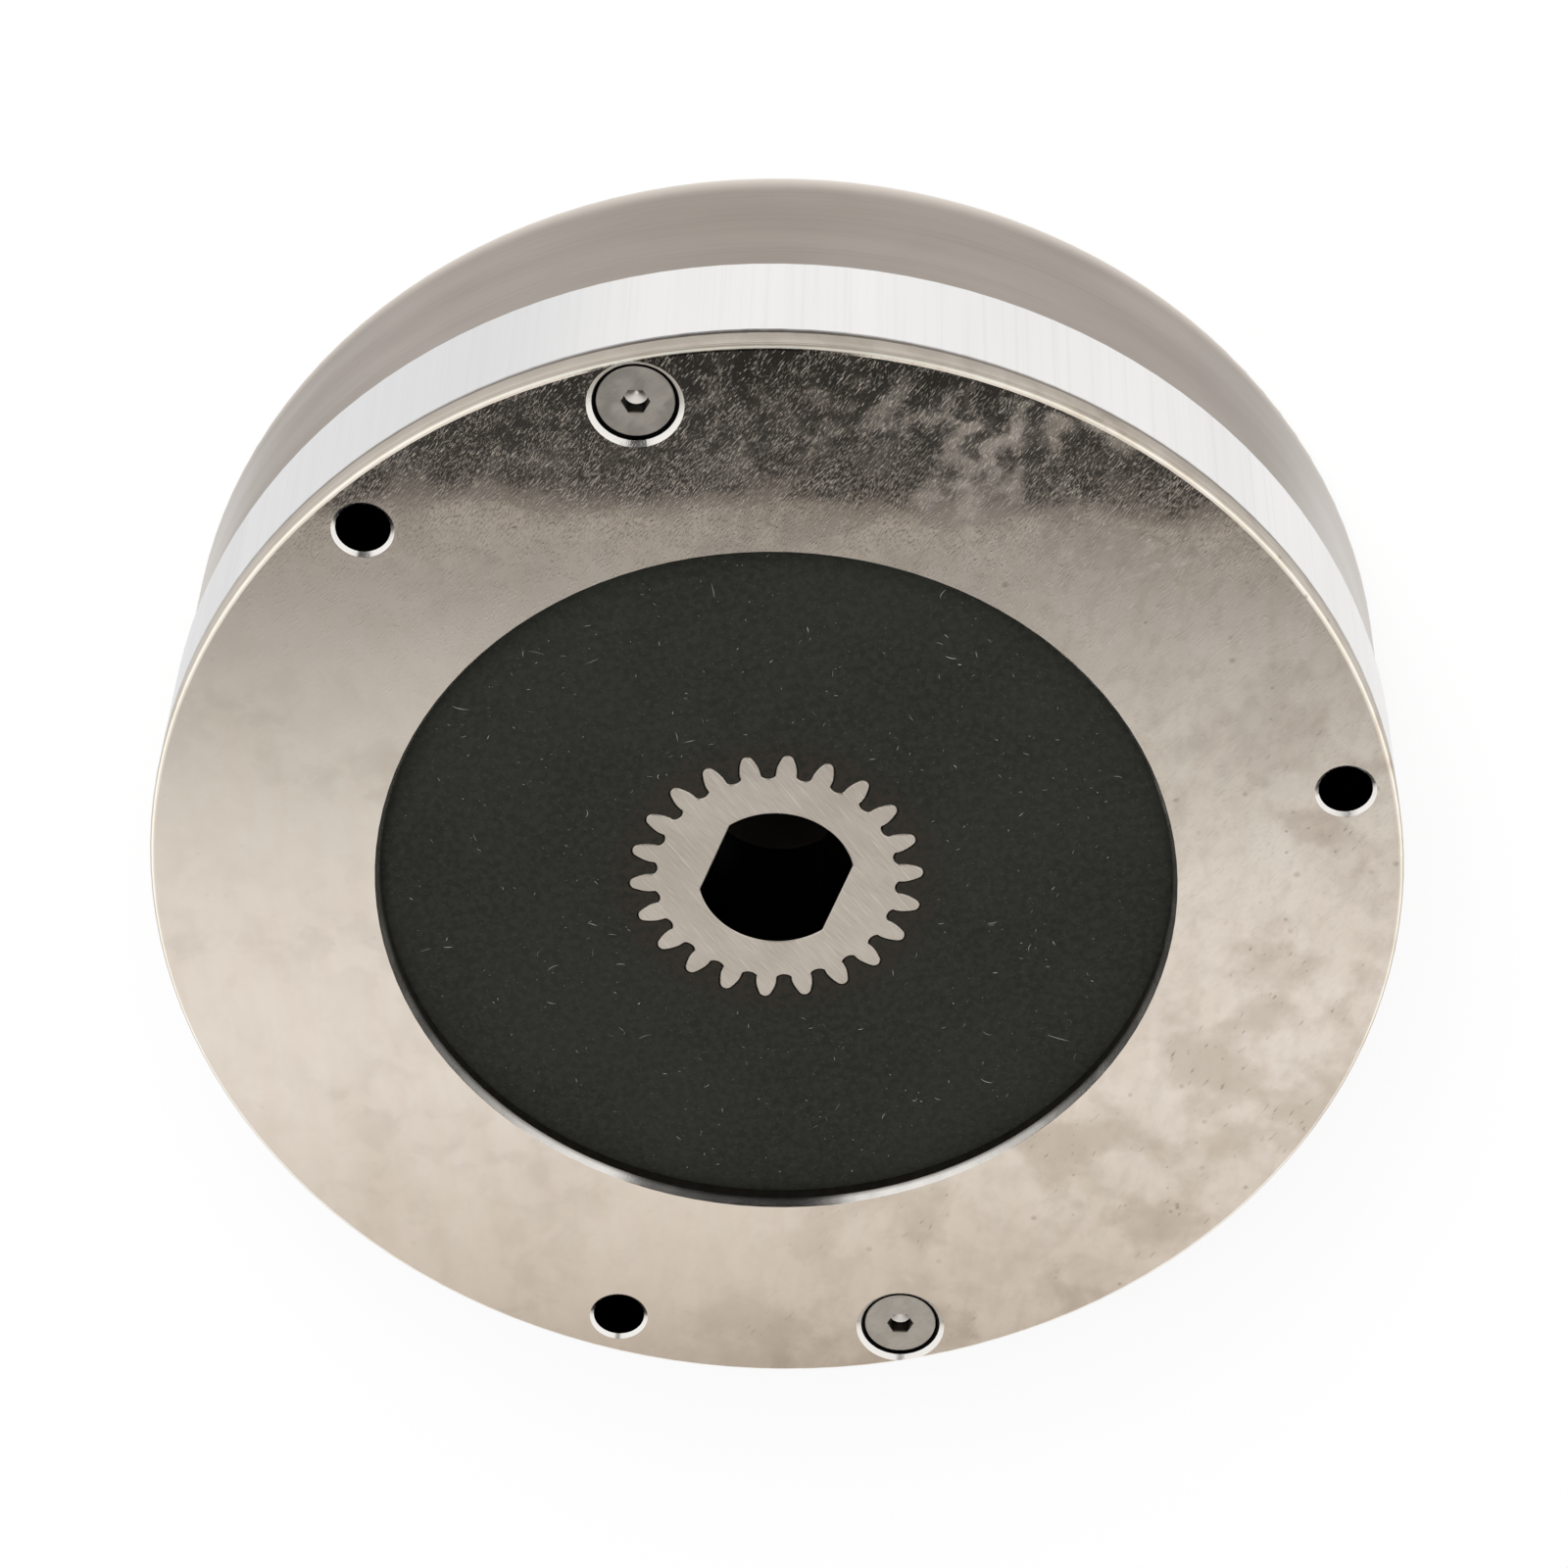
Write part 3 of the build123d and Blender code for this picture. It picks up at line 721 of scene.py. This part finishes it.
# Handling has stained the right side, most of all low down, and wiping has scratched the top.
handled = spread(tree, rightward, *HANDLED, 0.15, 1.0)
worn = maths(tree, "MULTIPLY_ADD", rightward, 0.4, upward)
worn = spread(tree, worn, *WORN, 0.25, 1.0)
lower_right = maths(tree, "MULTIPLY_ADD", upward, -0.7, rightward)
lower_right = spread(tree, lower_right, *LOWER_RIGHT)
smudge = both(tree, spread(tree, cloudy, 0.20, 1.0), spread(tree, wide, 0.10, 0.90, 0.25, 1.0))
stain = both(tree, spread(tree, smear, 0.42, 0.78), handled)
bloom = both(tree, spread(tree, blooms, 0.35, 1.0), maths(tree, "ADD", lower_right, 0.10))
dash = both(tree, spread(tree, dashes, 0.64, 0.74), both(tree, bloom, lower_right))
clumped = both(tree, worn, spread(tree, clumps, 0.10, 0.90, 0.30, 1.0))
stroke = both(tree, spread(tree, strokes, 0.50, 0.80), clumped)
hair = both(tree, spread(tree, hairs, 0.62, 0.76), worn)
colour = tint(tree, wide, (0.748, 0.669, 0.582, 1), (0.697, 0.617, 0.527, 1))
colour = tint(tree, spread(tree, ripple, 0.35, 0.65, 0.0, 0.3), colour, (0.78, 0.72, 0.65, 1))
marks = (
    (smudge, 0.34, (0.56, 0.495, 0.425, 1)),
    (stain, 0.36, (0.53, 0.455, 0.37, 1)),
    (bloom, 0.60, (0.505, 0.430, 0.350, 1)),
    (dash, 0.90, (0.34, 0.30, 0.25, 1)),
    (both(tree, pit, handled), 0.70, (0.30, 0.25, 0.20, 1)),
)
for mark, strength, stained in marks:
    colour = tint(tree, maths(tree, "MULTIPLY", mark, strength), colour, stained)

# The outer edge is turned, with fine lines. Painted shade makes it darker towards the rear and marks
# one groove, and a painted highlight makes its chamfer bright.
edge_lines = put(tree, "CombineXYZ", {"Z": maths(tree, "MULTIPLY", height, EDGE_LINES)}).outputs[0]
edge_lines = put(tree, "TexNoise", {"Vector": edge_lines, "Scale": 1.0, "Detail": 2.0}).outputs[0]
edge_lines_and_light = spread(tree, height, plate_rear, plate_front - 0.0004, 0.66, 0.86)
edge_lines_and_light = maths(tree, "MULTIPLY_ADD", maths(tree, "SUBTRACT", edge_lines, 0.5), 0.30, edge_lines_and_light)
groove = maths(tree, "ABSOLUTE", maths(tree, "SUBTRACT", height, plate_front - EDGE_GROOVE))
edge_lines_and_light = maths(tree, "MULTIPLY", edge_lines_and_light, spread(tree, groove, 0.00004, 0.00012, 0.68, 1.0))
chamfer_foot = plate_front - EDGE_CHAMFER
chamfer_highlight = spread(tree, height, chamfer_foot, chamfer_foot + 0.00015)
edge_lines_and_light = maths(tree, "MULTIPLY_ADD", chamfer_highlight, 0.75, edge_lines_and_light)
edge_lines_and_light_grey = put(tree, "CombineXYZ", {"X": edge_lines_and_light, "Y": edge_lines_and_light, "Z": edge_lines_and_light}).outputs[0]
on_edge = spread(tree, radius, rim_radius - 0.0005, rim_radius - 0.0003)
colour = tint(tree, on_edge, colour, tint(tree, 1.0, colour, edge_lines_and_light_grey, "MULTIPLY"))

# Painted light at the openings: a painted highlight on the opening's broken edge and painted shade
# on its wall below, the same on the holes' chamfers and below them, a painted highlight on the
# countersinks and painted shade in the ring round each screw head.
edge_end = OPENING + BROKEN_EDGE
highlit_opening_edge = both(
    tree,
    spread(tree, radius, edge_end + 0.0002, edge_end),
    spread(tree, height, under_face, plate_front - 0.00008),
)
colour = tint(tree, highlit_opening_edge, colour, (0.93, 0.90, 0.86, 1))
clear_of_wall_shade = spread(tree, radius, OPENING - 0.0001, OPENING + 0.0003)
colour = tint(tree, clear_of_wall_shade, (0.190, 0.170, 0.145, 1), colour)
highlit_hole_bevel = use(tree, bolt_shade, at, Hole=MOUNTING_HOLE + HOLE_CHAMFER + HAIR, Below=under_face)["Shade"]
colour = tint(tree, highlit_hole_bevel, colour, (0.88, 0.855, 0.82, 1))
colour = tint(tree, use(tree, bolt_shade, at)["Shade"], colour, NO_LIGHT)
highlit_countersink = screw_shade(tree, at, COUNTERSINK, under_face)
colour = tint(tree, highlit_countersink, colour, (0.86, 0.83, 0.79, 1))
screw_gap_shade = screw_shade(tree, at, SCREW_GAP, plate_front - GAP_DEPTH)
colour = tint(tree, screw_gap_shade, colour, NO_LIGHT)

# Roughness: the polish, with patches and haze, and more on strokes and on what is turned.
patchy = both(tree, spread(tree, cloudy, 0.30, 1.0, 0.0, 0.06), maths(tree, "ADD", wide, 0.25))
haze = both(tree, spread(tree, blooms, 0.30, 0.95, 0.0, 0.16), clumped)
haze = both(tree, haze, spread(tree, rightward, -0.015, 0.035, 0.20, 1.3))
rough = maths(tree, "ADD", maths(tree, "ADD", patchy, 0.038), haze)
machined = maths(tree, "MAXIMUM", maths(tree, "MAXIMUM", highlit_hole_bevel, highlit_countersink), highlit_opening_edge)
for mark, added in ((stroke, 0.05), (on_edge, 0.42), (machined, 0.14)):
    rough = maths(tree, "MULTIPLY_ADD", mark, added, rough)
relief = maths(tree, "MULTIPLY_ADD", hair, 0.7, stroke)
set_up(tree, shader, colour, rough, relief, 0.000008, Metallic=1.0)
dress(plate_steel, "front_plate")

# Plate screws: two M5 countersunk socket screws of stainless steel, bead-dull on the head,
# that hold the plate and ring to the magnet body.

HEAD_FACE, SOCKET, DRILL_POINT = 0.00458, 0.0019, 0.00142
screw_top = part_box("plate_screws")[1].z

screw_steel, tree, shader, at = start_finish("screw_steel")
cloud = use(tree, clouds, at, Size=0.0022, Detail=4.0)["Cloud"]
fine = use(tree, scratches, at, Angle=0.4, Length=0.0012, Width=0.00014)["Scratch"]
colour = tint(tree, cloud, (0.400, 0.368, 0.325, 1), (0.470, 0.433, 0.386, 1))
colour = tint(tree, spread(tree, fine, 0.5, 0.75, 0.0, 0.4), colour, (0.30, 0.275, 0.240, 1))

# Painted shade: the head's cone is painted dark, and so is the socket, apart from the drill point at
# its foot, which gets a painted highlight.
face = screw_shade(tree, at, HEAD_FACE, 1.0)
colour = tint(tree, face, (0.004, 0.004, 0.004, 1), colour)
socket = screw_shade(tree, at, SOCKET, screw_top - 0.0003)
highlit_drill_point = screw_shade(tree, at, DRILL_POINT, screw_top - 0.0010)
socket_shade_and_highlight = tint(tree, highlit_drill_point, (0.05, 0.045, 0.04, 1), (0.80, 0.76, 0.70, 1))
colour = tint(tree, socket, colour, socket_shade_and_highlight)
set_up(
    tree,
    shader,
    colour,
    spread(tree, cloud, 0.0, 1.0, 0.33, 0.41),
    fine,
    0.000006,
    Metallic=1.0,
)
dress(screw_steel, "plate_screws")

# Studio: a pale floor that keeps the shadow and is clear under the brake, a white surround, one
# soft lamp, and cards that only gloss sees. The first stands for the tabletop and its dark far
# edge, which the plate mirrors, and the others for what the rim mirrors above it.


def card(name, centre, across, upward, finish):
    """A flat card, four corners at its centre plus or minus its two half edges, that isn't part
    of the brake."""
    corners = [centre - across - upward, centre + across - upward,
               centre + across + upward, centre - across + upward]
    mesh = bpy.data.meshes.new(name)
    mesh.from_pydata([tuple(corner) for corner in corners], [], [(0, 1, 2, 3)])
    mesh.materials.append(finish)
    piece = link_in(bpy.data.objects.new(name, mesh))
    return piece


def only_gloss(piece):
    """Hide a card from the camera, from soft light and from shadows."""
    piece.visible_camera = piece.visible_diffuse = piece.visible_shadow = False
    piece.visible_transmission = piece.visible_volume_scatter = False


def start_studio_finish(name):
    """A new material with an empty tree."""
    finish = bpy.data.materials.new(name)
    finish.use_nodes = True
    finish.node_tree.nodes.clear()
    return finish, finish.node_tree


def glow(tree, colour):
    """A surface that gives out light of one colour, at a strength of 1."""
    return put(tree, "Emission", {"Color": colour, "Strength": 1.0}).outputs[0]


def finish_with(tree, surface):
    """Link a surface to its material's output."""
    tree.links.new(surface, put(tree, "OutputMaterial").inputs["Surface"])


# Each place of the plate mirrors the card's place on the line from the camera's foot through it,
# further out by one scale, so the card is painted by the places that mirror it.
photo_frame = Matrix.Translation((0, 0, plate_front)) @ Matrix.Rotation(-PHOTO_TURN, 4, "Z")
turn_only = photo_frame.to_3x3()
camera_seat = Vector((0.011774, 0.368081, 0.518009))
camera_foot = Vector((camera_seat.x, camera_seat.y, 0))
CARD_HEIGHT, CARD_MIDDLE = 0.300, 0.020
CARD_HALF_WIDTH, CARD_HALF_DEPTH = 0.200, 0.220
TABLE_NEAR, TABLE_FAR, WAVE_RATE, WAVE_DEPTH = -0.080, 0.120, 70.0, 0.010
card_scale = 1 + CARD_HEIGHT / camera_seat.z

tabletop_light, tree = start_studio_finish("tabletop_card")
seen = as_photographed(tree, put(tree, "TexCoord").outputs["Object"])
mirrored = put(tree, "VectorMath", {0: seen, 1: camera_foot}, operation="SUBTRACT").outputs[0]
mirrored = put(tree, "VectorMath", {0: mirrored, "Scale": 1 / card_scale}, operation="SCALE").outputs[0]
mirrored = put(tree, "VectorMath", {0: mirrored, 1: camera_foot}, operation="ADD").outputs[0]
wave = put(tree, "TexNoise", {"Vector": mirrored, "Scale": WAVE_RATE, "Detail": 4.0}).outputs[0]
upward = put(tree, "SeparateXYZ", {0: mirrored}).outputs["Y"]
waved = maths(tree, "MULTIPLY_ADD", maths(tree, "SUBTRACT", wave, 0.5), WAVE_DEPTH, upward)
reach = {"Value": waved, "From Min": TABLE_NEAR, "From Max": TABLE_FAR}
ramp = put(tree, "ValToRGB", {"Fac": put(tree, "MapRange", reach).outputs["Result"]})

# Each shade: where the plate mirrors it, upward from the axis, how bright it is, and its blue
# as a share of its red.
shades = (
    (-0.080, 0.54, 0.86), (-0.066, 0.79, 0.90), (-0.048, 0.91, 0.96), (-0.030, 1.0, 1.0),
    (-0.010, 1.0, 1.0), (0.002, 0.92, 1.0), (0.014, 0.82, 1.0), (0.024, 0.73, 1.0),
    (0.034, 0.60, 1.0), (0.044, 0.475, 1.0), (0.0536, 0.53, 0.92), (0.0552, 0.052, 0.93),
    (0.062, 0.055, 1.0), (0.074, 0.030, 1.0), (0.092, 0.045, 1.0), (0.104, 0.60, 1.0),
    (0.116, 1.0, 1.0),
)
for _ in shades[2:]:
    ramp.color_ramp.elements.new(0.5)
for element, (place, level, blue) in zip(ramp.color_ramp.elements, shades):
    element.position = (place - TABLE_NEAR) / (TABLE_FAR - TABLE_NEAR)
    element.color = (level, level * (1 + blue) / 2, level * blue, 1)
finish_with(tree, glow(tree, ramp.outputs["Color"]))

card_centre = camera_foot + (Vector((0, CARD_MIDDLE, 0)) - camera_foot) * card_scale
card_centre.z = CARD_HEIGHT
only_gloss(card(
    "tabletop_card",
    photo_frame @ card_centre,
    turn_only @ Vector((CARD_HALF_WIDTH, 0, 0)),
    turn_only @ Vector((0, CARD_HALF_DEPTH, 0)),
    tabletop_light,
))

# The rim's cards stand a metre above the picture. Each has its finish's colour, its centre and
# its half width and half height.
RIM_CARDS = {
    "dark_card_above": ((0.012, 0.012, 0.012, 1), (0.200, 1.0, 0.095), 0.500, 0.155),
    "dark_card_above_front": ((0.012, 0.012, 0.012, 1), (-0.170, 1.0, 0.450), 0.360, 0.200),
    "grey_card_above_front": ((0.22, 0.21, 0.20, 1), (0.020, 1.0, 0.850), 0.160, 0.200),
}
for name, (colour, centre, half_width, half_height) in RIM_CARDS.items():
    cloth, tree = start_studio_finish(name)
    finish_with(tree, glow(tree, colour))
    only_gloss(card(
        name,
        photo_frame @ Vector(centre),
        turn_only @ Vector((half_width, 0, 0)),
        turn_only @ Vector((0, 0, half_height)),
        cloth,
    ))

# The floor is white to gloss and nearly white to the camera, with the shadow on it. It is clear
# from below, so that the rear shows, and under the brake, except below the shaft's bore.
FOOT_RADIUS, BORE_FOOT, HALF_FLOOR, FLOOR_DROP = 0.0714, 0.0135, 4.0, 0.0001
CAMERA_WHITE = 0.82
floor_paint, tree = start_studio_finish("pale_floor")
off_axis = length_of(tree, put(tree, "TexCoord").outputs["Object"])
open_floor = maths(tree, "GREATER_THAN", off_axis, FOOT_RADIUS)
ray = put(tree, "LightPath").outputs
# Under the brake the floor is painted nearly black as painted shade, and only its patch below the
# shaft's bore stays.
shade = tint(tree, open_floor, (0.01, 0.01, 0.01, 1), (0.95, 0.95, 0.95, 1))
paint = put(tree, "BsdfDiffuse", {"Color": shade}).outputs[0]
gloss_share = maths(tree, "ADD", ray["Is Glossy Ray"], ray["Is Transmission Ray"], clamp=True)
camera_share = maths(tree, "MULTIPLY", ray["Is Camera Ray"], CAMERA_WHITE)
white_share = both(tree, maths(tree, "ADD", gloss_share, camera_share, clamp=True), open_floor)
painted = put(tree, "MixShader", {0: white_share, 1: paint, 2: glow(tree, (1, 1, 1, 1))}).outputs[0]
under_bore = maths(tree, "LESS_THAN", off_axis, BORE_FOOT)
cut_away = maths(tree, "SUBTRACT", 1.0, maths(tree, "MAXIMUM", open_floor, under_bore))
cut_away = maths(tree, "MAXIMUM", cut_away, put(tree, "NewGeometry").outputs["Backfacing"])
clear = put(tree, "BsdfTransparent").outputs[0]
finish_with(tree, put(tree, "MixShader", {0: cut_away, 1: painted, 2: clear}).outputs[0])
card(
    "pale_floor",
    Vector((0, 0, -FLOOR_DROP)),
    Vector((HALF_FLOOR, 0, 0)),
    Vector((0, HALF_FLOOR, 0)),
    floor_paint,
)

# The surround is white to the camera, gloss and glass, and less bright to what it lights.
SOFT_LIGHT = 0.72
world = bpy.data.worlds.new("white_surround")
bpy.context.scene.world = world
world.use_nodes = True
tree = world.node_tree
ray = put(tree, "LightPath").outputs
seen_white = maths(tree, "ADD", ray["Is Camera Ray"], ray["Is Glossy Ray"])
seen_white = maths(tree, "ADD", seen_white, ray["Is Transmission Ray"], clamp=True)
strength = put(tree, "MapRange", {"Value": seen_white, "To Min": SOFT_LIGHT, "To Max": 1.0})
background = tree.nodes["Background"]
background.inputs["Color"].default_value = (1, 1, 1, 1)
tree.links.new(strength.outputs["Result"], background.inputs["Strength"])

lamp = bpy.data.lights.new("soft_lamp", "AREA")
lamp.shape, lamp.size, lamp.energy = "DISK", 0.7, 9.0
soft_lamp = link_in(bpy.data.objects.new("soft_lamp", lamp))
soft_lamp.location = photo_frame @ Vector((-0.10, 0.80, 0.75))
soft_lamp.rotation_mode = "QUATERNION"
soft_lamp.rotation_quaternion = (-soft_lamp.location).to_track_quat("-Z", "Y")
soft_lamp.visible_glossy = False

# Camera: in front of the plate and 35 degrees off its axis, on the side that shows the rim.
# The picture's upward direction leans away from the lens, so the top of the rim shows.

camera = link_in(bpy.data.objects.new("camera", bpy.data.cameras.new("camera")))
rightward = Vector((0.99978, 0, -0.02077))
upward = Vector((-0.01167, 0.82717, -0.56183))
backward = rightward.cross(upward)
upward = backward.cross(rightward)
axes = [axis.normalized() for axis in (rightward, upward, backward)]
facing = Matrix(axes).transposed().to_4x4()
camera.matrix_world = photo_frame @ Matrix.Translation(camera_seat) @ facing
camera.data.sensor_width = 36.0
camera.data.lens = 120.20
camera.data.clip_start, camera.data.clip_end = 0.05, 20.0
bpy.context.scene.camera = camera
bpy.context.scene.view_settings.view_transform = "Standard"

bpy.context.view_layer.update()
